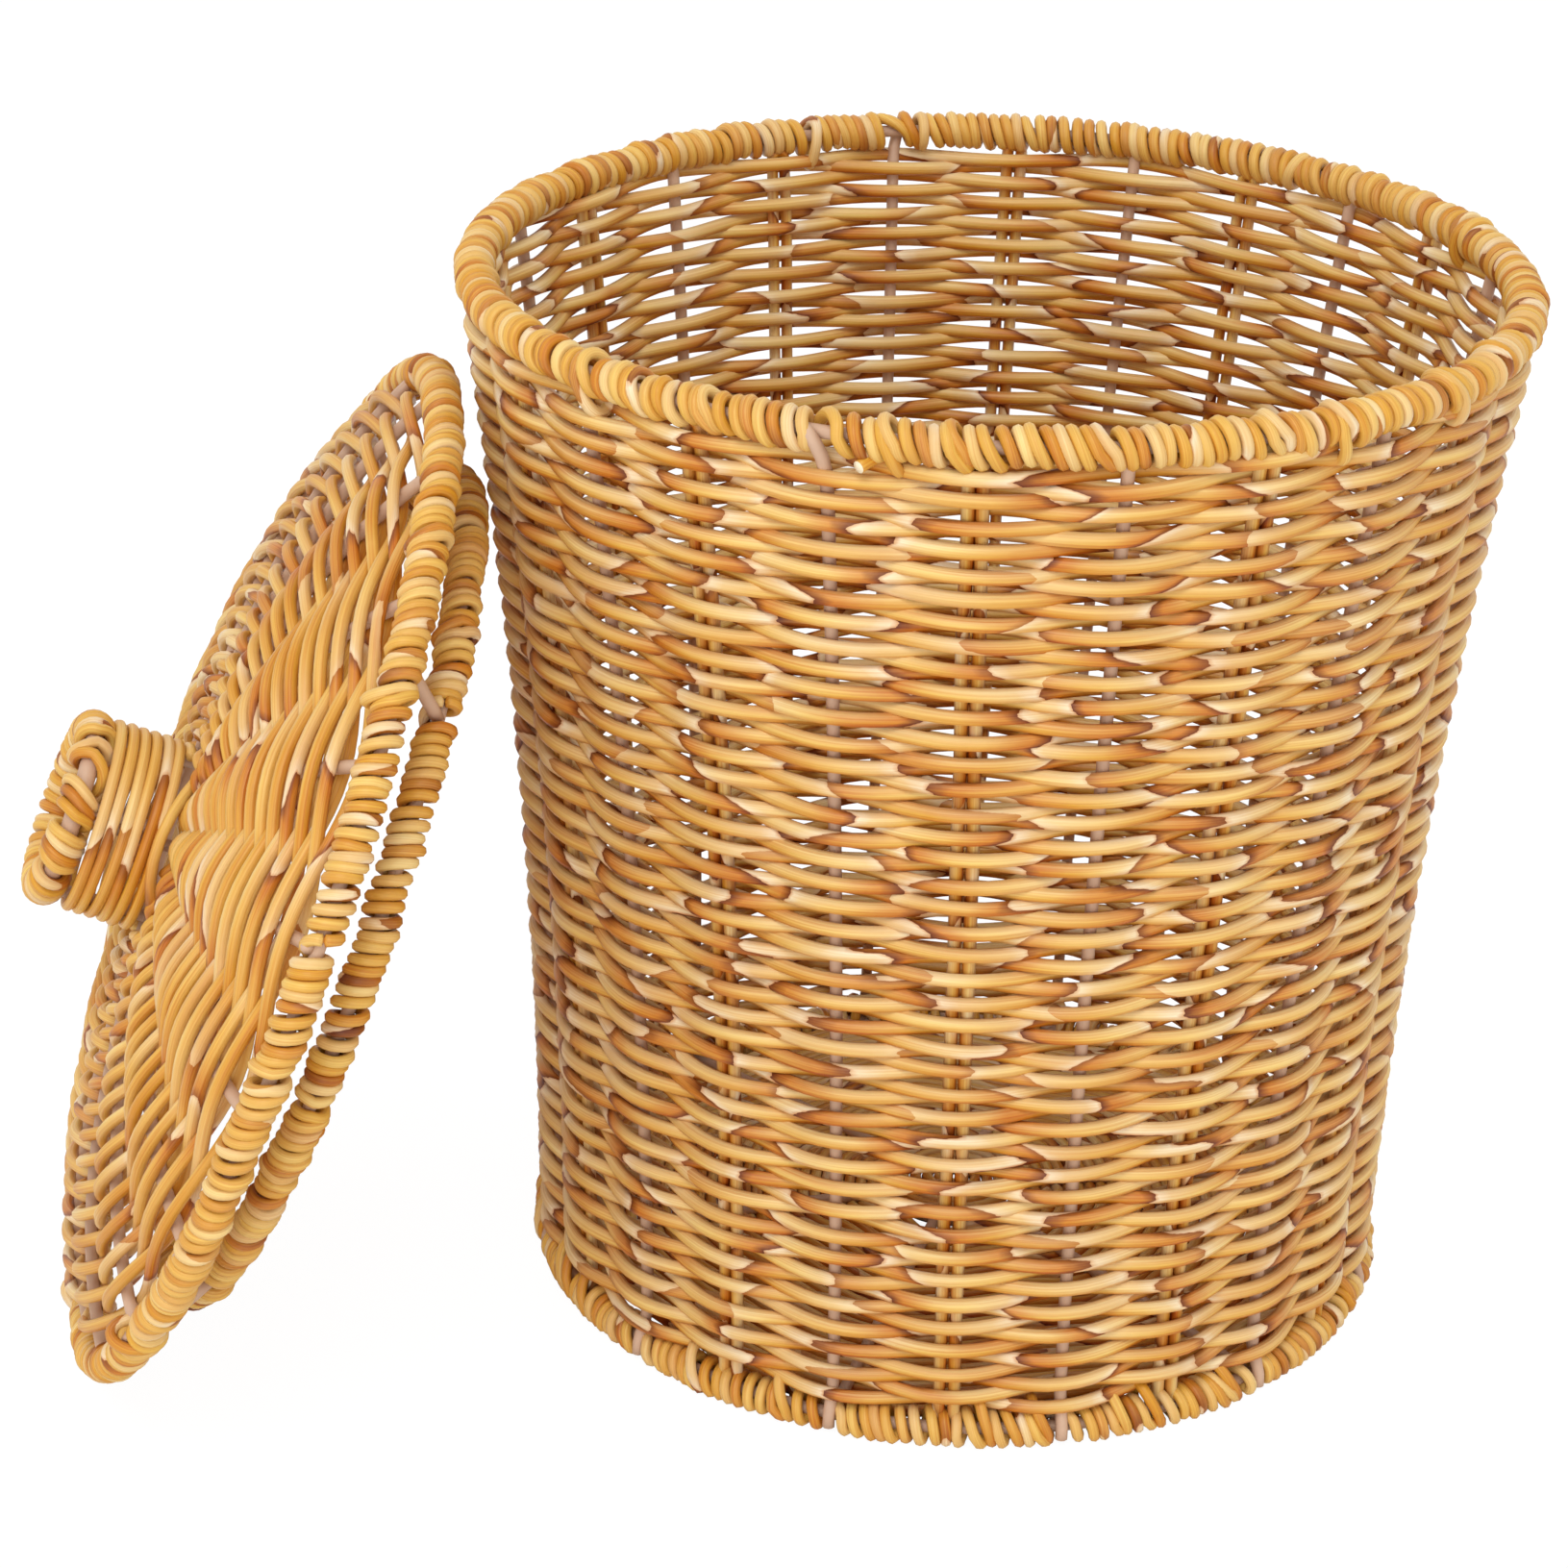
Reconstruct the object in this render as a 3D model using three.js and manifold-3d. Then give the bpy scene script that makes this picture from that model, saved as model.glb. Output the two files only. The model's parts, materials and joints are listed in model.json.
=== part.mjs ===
// Round woven storage basket with its lid taken off and leaning against the wall.
// Millimetres, +Z up, floor at z = 0. The origin is the bottom centre of the whole set.
import * as THREE from 'three';
import { mergeVertices } from 'three/addons/utils/BufferGeometryUtils.js';
import Module from 'manifold-3d';

// Cane and wire
const wireDiameter = 4;
const caneDiameter = 4;
const wrapThickness = 3.2;
const seatGap = 0.3;

// Basket
const rimRadius = 160;
const rimHeight = 335;
const baseRingRadius = 135.5;
const wallHollow = 3.2;
const stakeCount = 24;
const stakeTurn = THREE.MathUtils.degToRad(-91.2);
const stakeSwing = 3.4;
const pairGap = 0.6;
const wallEndGap = 1.5;

// Basket bottom
const baseHubRadius = 22;
const baseRise = 7;
const baseSwing = 2.4;
const baseEdgeGap = 0.7;

// Lid
const lidRingRadius = 161;
const domeHeight = 27;
const domePower = 3.4;
const ribCount = 19;
const ribTurn = THREE.MathUtils.degToRad(-1);
const ribSwing = 3.6;
const lidEdgeGap = 1.6;
const locatingRadius = 132.6;
const locatingDrop = 18.7;
const strutCount = 4;
const strutTurn = THREE.MathUtils.degToRad(48.5);
const strutSpread = THREE.MathUtils.degToRad(63);
const strutBendGap = 1;

// Knob
const knobRadius = 25;
const knobHeight = 66.4;
const knobWireDiameter = 5.8;
const postCount = 4;
const postTurn = THREE.MathUtils.degToRad(20);
const windingCane = 3.4;
const windingGap = 0.5;
const neckLoops = 5.5;
const loopsPerPost = 6;
const headCrowding = 0.25;

// How the lid leans
const lidFacing = THREE.MathUtils.degToRad(190.2);
const lidTilt = THREE.MathUtils.degToRad(21.4);
const lidBearing = THREE.MathUtils.degToRad(197.1);
const leanGap = 0.4;

// How finely round shapes are stepped
const wireSides = 5;
const windingSides = 6;
const sleeveSpans = 5;
const wallLevels = 3;
const ribSteps = 3;
const domeLevels = 4;
const neckSteps = 20;
const headSteps = 10;
const headSides = 5;

const wireRadius = wireDiameter / 2;
const caneRadius = caneDiameter / 2;
const boreRadius = wireRadius + seatGap;
const wrapRadius = boreRadius + wrapThickness;

const steel = new THREE.MeshStandardMaterial({ color: 0xa38a72, roughness: 0.5, metalness: 0.35 });
const cane = new THREE.MeshStandardMaterial({ color: 0xc98f45, roughness: 0.5, metalness: 0 });
const wrapCane = new THREE.MeshStandardMaterial({ color: 0xd6a860, roughness: 0.48, metalness: 0 });

const part = new THREE.Group();
const basket = new THREE.Group();
const lid = new THREE.Group();
part.add(basket, lid);

function addPiece(group, name, geometry, material) {
  const piece = new THREE.Mesh(geometry, material);
  piece.name = name;
  group.add(piece);
  return piece;
}

function numbered(name, index) {
  return `${name}_${String(index + 1).padStart(2, '0')}`;
}

function polar(radius, angle, z) {
  return new THREE.Vector3(radius * Math.cos(angle), radius * Math.sin(angle), z);
}

// Joined and cut solids
const wasm = await Module();
wasm.setup();

function toSolid(geometry) {
  const bare = geometry.clone();
  bare.deleteAttribute('normal');
  bare.deleteAttribute('uv');
  const merged = mergeVertices(bare, 1e-4);
  const vertProperties = new Float32Array(merged.attributes.position.array);
  const triVerts = new Uint32Array(merged.index.array);
  return new wasm.Manifold(new wasm.Mesh({ numProp: 3, vertProperties, triVerts }));
}

function toGeometry(solid) {
  const mesh = solid.getMesh();
  const geometry = new THREE.BufferGeometry();
  geometry.setAttribute('position', new THREE.BufferAttribute(mesh.vertProperties, 3));
  geometry.setIndex(new THREE.BufferAttribute(mesh.triVerts, 1));
  return geometry;
}

// Closed body from a row of sections. Each section is a list of loops of points, the outline
// first and its holes after it, and every section has the same loops with the same counts.
function loft(sections, endless = false) {
  const positions = [];
  const indices = [];
  const loopSizes = sections[0].map((loop) => loop.length);
  const sectionSize = loopSizes.reduce((sum, size) => sum + size, 0);
  for (const section of sections) {
    for (const point of section.flat()) {
      positions.push(point.x, point.y, point.z);
    }
  }
  const spans = endless ? sections.length : sections.length - 1;
  for (let s = 0; s < spans; s += 1) {
    const here = s * sectionSize;
    const next = ((s + 1) % sections.length) * sectionSize;
    let start = 0;
    for (const size of loopSizes) {
      for (let i = 0; i < size; i += 1) {
        const a = start + i;
        const b = start + ((i + 1) % size);
        indices.push(here + a, here + b, next + b);
        indices.push(here + a, next + b, next + a);
      }
      start += size;
    }
  }
  if (!endless) {
    addEnd(sections[0], 0, true, indices);
    addEnd(sections[spans], spans * sectionSize, false, indices);
  }
  const geometry = new THREE.BufferGeometry();
  geometry.setAttribute('position', new THREE.Float32BufferAttribute(positions, 3));
  geometry.setIndex(indices);
  return facingOut(geometry);
}

function addEnd(section, offset, flipped, indices) {
  const flat = flatten(section);
  const faces = THREE.ShapeUtils.triangulateShape(flat[0], flat.slice(1));
  for (const [a, b, c] of faces) {
    if (flipped) {
      indices.push(offset + a, offset + c, offset + b);
    } else {
      indices.push(offset + a, offset + b, offset + c);
    }
  }
}

// The section's points in its own plane, turning anticlockwise round the outline.
function flatten(section) {
  const [outline] = section;
  const [first] = outline;
  const normal = new THREE.Vector3();
  for (let i = 1; i < outline.length - 1; i += 1) {
    const a = new THREE.Vector3().subVectors(outline[i], first);
    const b = new THREE.Vector3().subVectors(outline[i + 1], first);
    normal.add(a.cross(b));
  }
  normal.normalize();
  const across = squareTo(normal);
  const up = new THREE.Vector3().crossVectors(normal, across);
  return section.map((loop) => loop.map((p) => new THREE.Vector2(p.dot(across), p.dot(up))));
}

function squareTo(direction) {
  const steep = Math.abs(direction.z) > 0.8;
  const helper = steep ? new THREE.Vector3(1, 0, 0) : new THREE.Vector3(0, 0, 1);
  return helper.cross(direction).normalize();
}

function facingOut(geometry) {
  const position = geometry.attributes.position;
  const order = geometry.index.array;
  const corners = [new THREE.Vector3(), new THREE.Vector3(), new THREE.Vector3()];
  let volume = 0;
  for (let i = 0; i < order.length; i += 3) {
    corners.forEach((corner, k) => corner.fromBufferAttribute(position, order[i + k]));
    volume += corners[0].dot(corners[1].cross(corners[2]));
  }
  if (volume < 0) {
    for (let i = 0; i < order.length; i += 3) {
      [order[i + 1], order[i + 2]] = [order[i + 2], order[i + 1]];
    }
  }
  return geometry;
}

// Round wire or cane along a list of points, its section carried along without twisting. One
// corner of the first section points to the given side.
function tube(points, radius, sides = wireSides, firstCorner = null) {
  const last = points.length - 1;
  const directions = points.map((point, i) => {
    const before = points[Math.max(i - 1, 0)];
    const after = points[Math.min(i + 1, last)];
    return new THREE.Vector3().subVectors(after, before).normalize();
  });
  let across = firstCorner ?? squareTo(directions[0]);
  const sections = points.map((point, i) => {
    const along = directions[i];
    across = across.clone().addScaledVector(along, -across.dot(along)).normalize();
    const up = new THREE.Vector3().crossVectors(along, across);
    const loop = [];
    for (let k = 0; k < sides; k += 1) {
      const angle = (2 * Math.PI * k) / sides;
      const spoke = across.clone().multiplyScalar(Math.cos(angle)).addScaledVector(up, Math.sin(angle));
      loop.push(point.clone().addScaledVector(spoke, radius));
    }
    return [loop];
  });
  return loft(sections);
}

// A bore for a wire has its flats outside the wire's corners.
function boreTube(points) {
  return tube(points, boreRadius / Math.cos(Math.PI / wireSides));
}

function wireRing(radius, z, steps, turn, thickness = wireRadius) {
  const geometry = new THREE.TorusGeometry(radius, thickness, wireSides, steps);
  return geometry.rotateZ(turn).translate(0, 0, z);
}

// A stepped ring is drawn in between its corners.
function steppedRadius(radius, angle, steps, turn) {
  const step = (2 * Math.PI) / steps;
  const offset = THREE.MathUtils.euclideanModulo(angle - turn, step) - step / 2;
  return (radius * Math.cos(step / 2)) / Math.cos(offset);
}

// Sleeve of cane turns round a ring wire. It is open along one line, towards the given angle in
// the ring's section, where the wires that end on the ring come in. The side opposite is flat.
const halfMouth = Math.asin(boreRadius / wrapRadius);
const sleeveStep = (2 * (Math.PI - halfMouth)) / sleeveSpans;
const sleeveFlatDepth = wrapRadius * Math.cos(sleeveStep / 2);

function wrapRing(radius, z, openTowards, steps, turn) {
  const profile = [];
  for (let i = 0; i <= sleeveSpans; i += 1) {
    const angle = halfMouth + i * sleeveStep;
    profile.push(new THREE.Vector2(wrapRadius * Math.cos(angle), wrapRadius * Math.sin(angle)));
  }
  const flank = boreRadius * Math.tan(Math.PI / 6);
  profile.push(new THREE.Vector2(-flank, -boreRadius));
  profile.push(new THREE.Vector2(-2 * flank, 0));
  profile.push(new THREE.Vector2(-flank, boreRadius));
  const middle = new THREE.Vector2();
  profile.forEach((point) => point.rotateAround(middle, openTowards));
  const sections = [];
  for (let i = 0; i < steps; i += 1) {
    const angle = turn + (2 * Math.PI * i) / steps;
    sections.push([profile.map((p) => polar(radius + p.x, angle, z + p.y))]);
  }
  return loft(sections, true);
}

// Basket wall: the line of the stakes, from the base ring to the rim, drawn in a little between.
const baseRingHeight = sleeveFlatDepth;
const wallFoot = baseRingHeight + wrapRadius;
const wallHead = rimHeight - wrapRadius;
const wallBottom = wallFoot + wallEndGap;
const wallTop = wallHead - wallEndGap;
const basketSteps = 2 * stakeCount;

function wallRadius(z) {
  const share = THREE.MathUtils.clamp((z - wallFoot) / (wallHead - wallFoot), 0, 1);
  const straight = baseRingRadius + (rimRadius - baseRingRadius) * share;
  return straight - 4 * wallHollow * share * (1 - share);
}

function stakeAngle(index) {
  return stakeTurn + (2 * Math.PI * index) / stakeCount;
}

function sideways(angle) {
  return new THREE.Vector3(-Math.sin(angle), Math.cos(angle), 0);
}

const wallHeights = [];
for (let i = 0; i < wallLevels; i += 1) {
  wallHeights.push(wallBottom + ((wallTop - wallBottom) * i) / (wallLevels - 1));
}

// Top ring, base ring and the sleeve on the top ring
addPiece(basket, 'top_ring', wireRing(rimRadius, rimHeight, basketSteps, stakeTurn), steel);
addPiece(basket, 'base_ring', wireRing(baseRingRadius, baseRingHeight, basketSteps, stakeTurn), steel);
const rimSleeve = wrapRing(rimRadius, rimHeight, -Math.PI / 2, basketSteps, stakeTurn);
addPiece(basket, 'rim_wrap', rimSleeve, wrapCane);

// Steel uprights, welded under the top ring and on the base ring, at every other stake
const stakeFoot = baseRingHeight + boreRadius;
const stakeTop = rimHeight - boreRadius;

function stakeLine(index, heights, aside = 0) {
  const angle = stakeAngle(index);
  return heights.map((z) => polar(wallRadius(z), angle, z).addScaledVector(sideways(angle), aside));
}

const uprightStakes = [];
const caneStakes = [];
for (let i = 0; i < stakeCount; i += 1) {
  if (i % 2 === 1) {
    uprightStakes.push(i);
  } else {
    caneStakes.push(i);
  }
}

const uprightHeights = [stakeFoot, ...wallHeights, stakeTop];
uprightStakes.forEach((stake, i) => {
  const line = stakeLine(stake, uprightHeights);
  addPiece(basket, numbered('frame_upright', i), tube(line, wireRadius), steel);
});

// Cane stakes: one cane doubled into a pair, its bend tucked up under the top ring
const pairOffset = caneRadius + pairGap / 2;
const bendSteps = 4;
const bendFoot = stakeTop - caneRadius - pairOffset;
const caneHeights = [stakeFoot, ...wallHeights.slice(0, -1), bendFoot];

function doubledCane(stake) {
  const left = stakeLine(stake, caneHeights, -pairOffset);
  const right = stakeLine(stake, caneHeights, pairOffset);
  const middle = new THREE.Vector3().addVectors(left.at(-1), right.at(-1)).divideScalar(2);
  const bend = [];
  for (let i = 1; i < bendSteps; i += 1) {
    const turn = Math.PI * (1 - i / bendSteps);
    const point = middle.clone().addScaledVector(sideways(stakeAngle(stake)), pairOffset * Math.cos(turn));
    point.z += pairOffset * Math.sin(turn);
    bend.push(point);
  }
  const outwards = polar(1, stakeAngle(stake), 0);
  return tube([...left, ...bend, ...right.reverse()], caneRadius, wireSides, outwards);
}

caneStakes.forEach((stake, i) => {
  addPiece(basket, numbered('cane_stake', i), doubledCane(stake), cane);
});

// Woven side: one wall as thick as the canes that pass before and behind each stake, with a bore
// for every stake. Its outline is scalloped, full at a stake and thin between two.
function scallopLoop(z, side) {
  const loop = [];
  for (let i = 0; i < basketSteps; i += 1) {
    const reach = i % 2 === 0 ? caneRadius + stakeSwing : caneRadius;
    const angle = stakeTurn + (2 * Math.PI * i) / basketSteps;
    loop.push(polar(wallRadius(z) + side * reach, angle, z));
  }
  return loop;
}

function boreLoop(stake, z, halfWidth) {
  const angle = stakeAngle(stake);
  const centre = polar(wallRadius(z), angle, z);
  const outward = polar(1, angle, 0);
  const sides = 6;
  const corner = boreRadius / Math.cos(Math.PI / sides);
  const loop = [];
  for (let k = 0; k < sides; k += 1) {
    const turn = (2 * Math.PI * k) / sides;
    const across = corner * Math.cos(turn) + Math.sign(Math.cos(turn)) * halfWidth;
    const out = corner * Math.sin(turn);
    loop.push(centre.clone().addScaledVector(sideways(angle), across).addScaledVector(outward, out));
  }
  return loop;
}

function sideWeave() {
  const sections = wallHeights.map((z) => [
    scallopLoop(z, 1),
    scallopLoop(z, -1).reverse(),
    ...uprightStakes.map((stake) => boreLoop(stake, z, 0)),
    ...caneStakes.map((stake) => boreLoop(stake, z, pairOffset)),
  ]);
  return loft(sections);
}

addPiece(basket, 'side_weave', sideWeave(), cane);

// Basket bottom: a hub ring with a spoke to the base ring below each upright, domed up a little,
// and the woven disc round it.
const baseWeaveRadius = baseRingRadius - wrapRadius - baseEdgeGap;
const baseReach = caneRadius + baseSwing;

function baseLine(radius) {
  return baseRingHeight + baseRise * (1 - (radius / baseRingRadius) ** 2);
}

function spokePoints(stake, from, to) {
  const angle = stakeAngle(stake);
  return [from, (from + to) / 2, to].map((radius) => polar(radius, angle, baseLine(radius)));
}

function baseFrame(radius, spokeEnd) {
  const height = baseLine(baseHubRadius);
  const hub = wireRing(baseHubRadius, height, uprightStakes.length, stakeAngle(uprightStakes[0]), radius);
  let frame = toSolid(hub);
  for (const stake of uprightStakes) {
    frame = frame.add(toSolid(tube(spokePoints(stake, baseHubRadius, spokeEnd), radius)));
  }
  return frame;
}

const baseSteel = baseFrame(wireRadius, baseRingRadius - boreRadius);
addPiece(basket, 'base_frame', toGeometry(baseSteel), steel);

function baseDisc() {
  const top = [];
  const bottom = [];
  for (const share of [0, 0.5, 1]) {
    const radius = baseWeaveRadius * share;
    top.unshift(new THREE.Vector2(radius, baseLine(radius) + baseReach));
    bottom.push(new THREE.Vector2(radius, baseLine(radius) - baseReach));
  }
  return new THREE.LatheGeometry([...bottom, ...top], stakeCount).rotateX(Math.PI / 2);
}

const baseBore = baseFrame(boreRadius / Math.cos(Math.PI / wireSides), baseRingRadius);
addPiece(basket, 'base_weave', toGeometry(toSolid(baseDisc()).subtract(baseBore)), cane);

function baseSleeve() {
  const ring = wrapRing(baseRingRadius, baseRingHeight, Math.PI / 2, basketSteps, stakeTurn);
  let sleeve = toSolid(ring);
  for (const stake of uprightStakes) {
    const points = spokePoints(stake, baseRingRadius - 2 * wrapRadius, baseRingRadius);
    sleeve = sleeve.subtract(toSolid(boreTube(points)));
  }
  return sleeve;
}

addPiece(basket, 'base_wrap', toGeometry(baseSleeve()), wrapCane);

// Lid, drawn lying flat with its ring in the plane z = 0 and the knob up
const lidSteps = 2 * ribCount;
const ribSlope = Math.atan((domeHeight * domePower) / lidRingRadius);

function domeLine(radius) {
  return domeHeight * (1 - (radius / lidRingRadius) ** domePower);
}

addPiece(lid, 'lid_ring', wireRing(lidRingRadius, 0, lidSteps, ribTurn), steel);

// Locating ring, with the struts that hold it up under the lid ring. A strut leaves the lid ring at
// an angle that keeps its bore clear of the slot for the ribs, and turns inwards outside the sleeve.
const strutLeave = Math.PI - ribSlope + strutSpread;
const strutStub = wrapRadius + strutBendGap;

// A strut's points in the rings' section, as radius and height
function strutLine(upperRadius, lowerRadius) {
  const ring = new THREE.Vector2(upperRadius, 0);
  const leave = new THREE.Vector2(Math.cos(strutLeave), Math.sin(strutLeave));
  const start = ring.clone().addScaledVector(leave, boreRadius);
  const bend = ring.clone().addScaledVector(leave, strutStub);
  const seat = new THREE.Vector2(lowerRadius, -locatingDrop);
  return { ring, start, bend, seat, arriveAngle: bend.clone().sub(seat).angle() };
}

function strutPlaces(index) {
  const angle = strutTurn + (2 * Math.PI * index) / strutCount;
  const upperRadius = steppedRadius(lidRingRadius, angle, lidSteps, ribTurn);
  const lowerRadius = steppedRadius(locatingRadius, angle, lidSteps, ribTurn);
  const line = strutLine(upperRadius, lowerRadius);
  const place = (point) => polar(point.x, angle, point.y);
  const wire = [line.start, line.bend, line.seat].map(place);
  return { wire, bore: [line.ring, line.bend].map(place) };
}

function locatingRing() {
  let ring = toSolid(wireRing(locatingRadius, -locatingDrop, lidSteps, ribTurn));
  for (let i = 0; i < strutCount; i += 1) {
    ring = ring.add(toSolid(tube(strutPlaces(i).wire, wireRadius)));
  }
  return ring;
}

addPiece(lid, 'locating_ring', toGeometry(locatingRing()), steel);

function lidRimSleeve() {
  let sleeve = toSolid(wrapRing(lidRingRadius, 0, Math.PI - ribSlope, lidSteps, ribTurn));
  for (let i = 0; i < strutCount; i += 1) {
    sleeve = sleeve.subtract(toSolid(boreTube(strutPlaces(i).bore)));
  }
  return sleeve;
}

addPiece(lid, 'lid_rim_wrap', toGeometry(lidRimSleeve()), wrapCane);
const locatingMouth = strutLine(lidRingRadius, locatingRadius).arriveAngle;
const locatingSleeve = wrapRing(locatingRadius, -locatingDrop, locatingMouth, lidSteps, ribTurn);
addPiece(lid, 'locating_wrap', locatingSleeve, wrapCane);

// Ribs: curved wires from the hub ring under the knob to the lid ring
function ribPoints(index, from, to) {
  const angle = ribTurn + (2 * Math.PI * index) / ribCount;
  const points = [];
  for (let i = 0; i <= ribSteps; i += 1) {
    const radius = from + (to - from) * Math.sin((Math.PI * i) / (2 * ribSteps));
    points.push(polar(radius, angle, domeLine(radius)));
  }
  return points;
}

addPiece(lid, 'lid_hub_ring', wireRing(knobRadius, domeLine(knobRadius), ribCount, ribTurn), steel);

const ribStart = knobRadius + boreRadius;
const ribEnd = lidRingRadius - boreRadius * Math.cos(ribSlope);
for (let i = 0; i < ribCount; i += 1) {
  addPiece(lid, numbered('lid_rib', i), tube(ribPoints(i, ribStart, ribEnd), wireRadius), steel);
}

// Woven dome: a scalloped shell on both sides of the ribs, which run through its bores
const lidWeaveInner = knobRadius + wireRadius + caneRadius;
const lidWeaveOuter = lidRingRadius - wrapRadius - lidEdgeGap;

function domeNormal(radius) {
  const slope = (domeHeight * domePower * (radius / lidRingRadius) ** (domePower - 1)) / lidRingRadius;
  return new THREE.Vector2(slope, 1).normalize();
}

function domeShell() {
  const levels = [];
  for (let i = 0; i < domeLevels; i += 1) {
    const share = Math.sin((Math.PI * i) / (2 * (domeLevels - 1)));
    levels.push(lidWeaveInner + (lidWeaveOuter - lidWeaveInner) * share);
  }
  const sections = [];
  for (let i = 0; i < lidSteps; i += 1) {
    const angle = ribTurn + (2 * Math.PI * i) / lidSteps;
    const reach = i % 2 === 0 ? caneRadius + ribSwing : caneRadius;
    const skin = (side) => levels.map((radius) => {
      const normal = domeNormal(radius).multiplyScalar(side * reach);
      return polar(radius + normal.x, angle, domeLine(radius) + normal.y);
    });
    sections.push([[...skin(1), ...skin(-1).reverse()]]);
  }
  return loft(sections, true);
}

function lidWeave() {
  let shell = toSolid(domeShell());
  for (let i = 0; i < ribCount; i += 1) {
    shell = shell.subtract(toSolid(boreTube(ribPoints(i, ribStart, ribEnd))));
  }
  return shell;
}

addPiece(lid, 'lid_weave', toGeometry(lidWeave()), cane);

// Knob: a ring on four posts, with cane wound round the posts below and round the ring above
const windingRadius = windingCane / 2;
const knobWireRadius = knobWireDiameter / 2;
const knobSteps = 24;

function knobFrame() {
  let frame = toSolid(wireRing(knobRadius, knobHeight, knobSteps, postTurn, knobWireRadius));
  const foot = domeLine(knobRadius) + boreRadius;
  for (let i = 0; i < postCount; i += 1) {
    const angle = postTurn + (2 * Math.PI * i) / postCount;
    const points = [polar(knobRadius, angle, foot), polar(knobRadius, angle, knobHeight)];
    frame = frame.add(toSolid(tube(points, wireRadius)));
  }
  return frame;
}

addPiece(lid, 'knob_frame', toGeometry(knobFrame()), steel);

// The least distance between two turns of a wound cane, skin to skin, over its own points
function leastSelfGap(points, stepsPerLoop) {
  let least = Infinity;
  for (let i = 0; i < points.length; i += 1) {
    for (let j = i + Math.floor(stepsPerLoop / 2); j < points.length; j += 1) {
      least = Math.min(least, points[i].distanceTo(points[j]) - windingCane);
    }
  }
  return least;
}

const neckRadius = knobRadius + wireRadius + seatGap + windingRadius;
const neckPitch = windingCane + windingGap;
const neckFoot = domeLine(neckRadius) + caneRadius + ribSwing + seatGap + windingRadius;

function neckPoints() {
  const points = [];
  for (let i = 0; i <= neckLoops * neckSteps; i += 1) {
    const turn = (2 * Math.PI * i) / neckSteps;
    points.push(polar(neckRadius, postTurn + turn, neckFoot + (neckPitch * i) / neckSteps));
  }
  return points;
}

// The head's turns go round the knob ring. They stand closer between the posts, so that each
// post comes up through the ring of turns midway between two of them.
const headLoops = loopsPerPost * postCount;
const headLoopRadius = knobWireRadius + seatGap + windingRadius;

function headPoints() {
  const points = [];
  for (let i = 0; i <= (headLoops - 0.5) * headSteps; i += 1) {
    const loop = i / headSteps;
    const turn = 2 * Math.PI * loop;
    const even = (2 * Math.PI * (loop - 0.25)) / headLoops;
    const around = even + (headCrowding * Math.sin(postCount * even)) / postCount;
    const radius = knobRadius + headLoopRadius * Math.cos(turn);
    points.push(polar(radius, postTurn + around, knobHeight + headLoopRadius * Math.sin(turn)));
  }
  return points;
}

const neck = neckPoints();
const head = headPoints();
console.log(`knob_neck_wrap least gap ${leastSelfGap(neck, neckSteps).toFixed(2)} mm`);
console.log(`knob_head_wrap least gap ${leastSelfGap(head, headSteps).toFixed(2)} mm`);
addPiece(lid, 'knob_neck_wrap', tube(neck, windingRadius, windingSides), wrapCane);
addPiece(lid, 'knob_head_wrap', tube(head, windingRadius, headSides), wrapCane);

// The lid stands on its ring and leans on the wall. It is moved out along its bearing until the
// nearest of its two rings clears the wall and the rim by the lean gap.
const outward = new THREE.Vector3(
  Math.cos(lidTilt) * Math.cos(lidFacing),
  Math.cos(lidTilt) * Math.sin(lidFacing),
  Math.sin(lidTilt),
);
const level = new THREE.Vector3(0, 0, 1).cross(outward).normalize();
const upward = new THREE.Vector3().crossVectors(outward, level);
lid.quaternion.setFromRotationMatrix(new THREE.Matrix4().makeBasis(level, upward, outward));

const lidRings = [
  { radius: lidRingRadius, height: 0 },
  { radius: locatingRadius, height: -locatingDrop },
];

function clearanceAt(distance) {
  const centre = polar(distance, lidBearing, lidRingRadius * upward.z + wrapRadius);
  const wallReach = caneRadius + stakeSwing + wrapRadius;
  let least = Infinity;
  for (const ring of lidRings) {
    for (let degrees = 0; degrees < 360; degrees += 1) {
      const point = polar(ring.radius, THREE.MathUtils.degToRad(degrees), ring.height);
      point.applyQuaternion(lid.quaternion).add(centre);
      const away = Math.hypot(point.x, point.y);
      const fromWall = away - wallRadius(point.z) - wallReach;
      const fromRim = Math.hypot(away - rimRadius, point.z - rimHeight) - 2 * wrapRadius;
      const nearest = point.z < wallTop ? Math.min(fromWall, fromRim) : fromRim;
      least = Math.min(least, nearest);
    }
  }
  return least;
}

let near = rimRadius;
let far = rimRadius + 2 * lidRingRadius;
while (far - near > 1e-6) {
  const middle = (near + far) / 2;
  if (clearanceAt(middle) < leanGap) {
    near = middle;
  } else {
    far = middle;
  }
}
lid.position.copy(polar(far, lidBearing, 0));
lid.updateMatrixWorld(true);
lid.position.z -= new THREE.Box3().setFromObject(lid, true).min.z;

part.updateMatrixWorld(true);
const whole = new THREE.Box3().setFromObject(part, true);
const centre = whole.getCenter(new THREE.Vector3());
part.position.set(-centre.x, -centre.y, -whole.min.z);
part.updateMatrixWorld(true);

export default part;
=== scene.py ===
# Toy storage basket: a woven basket on a steel wire frame, with its domed lid leaning against it.
import json
import math
import bpy
import numpy as np
from mathutils import Matrix, Vector


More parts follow.
